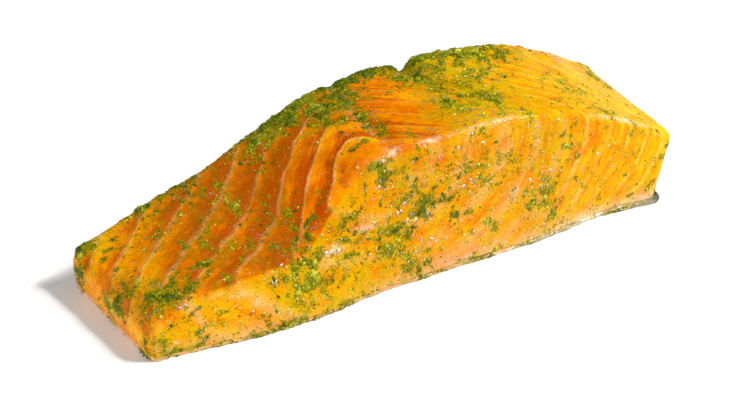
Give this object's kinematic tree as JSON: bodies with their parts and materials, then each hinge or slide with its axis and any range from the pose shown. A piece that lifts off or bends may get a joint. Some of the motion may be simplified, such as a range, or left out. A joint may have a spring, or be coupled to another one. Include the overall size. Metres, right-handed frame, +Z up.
{
  "type": "marinated salmon fillet",
  "caption": "Raw salmon fillet portion cut across the side, skin on, marinated in oil and strewn with chopped dill.",
  "frame": {"origin": "on the resting plane, under the middle of the box round the portion", "axes": "+X from the thin belly edge to the thick back of the fish, +Y from the front cut to the rear cut, +Z up"},
  "size_m": [0.1538, 0.0478, 0.0387],
  "materials": {
    "salmon_flesh": "raw orange salmon flesh with pale fat lines, wet with oil and green dill",
    "salmon_skin": "scaled fish skin, silver to dark grey, moist"
  },
  "bodies": {
    "root": {"salmon_flesh": "salmon_flesh", "salmon_skin": "salmon_skin"}
  },
  "joints": []
}
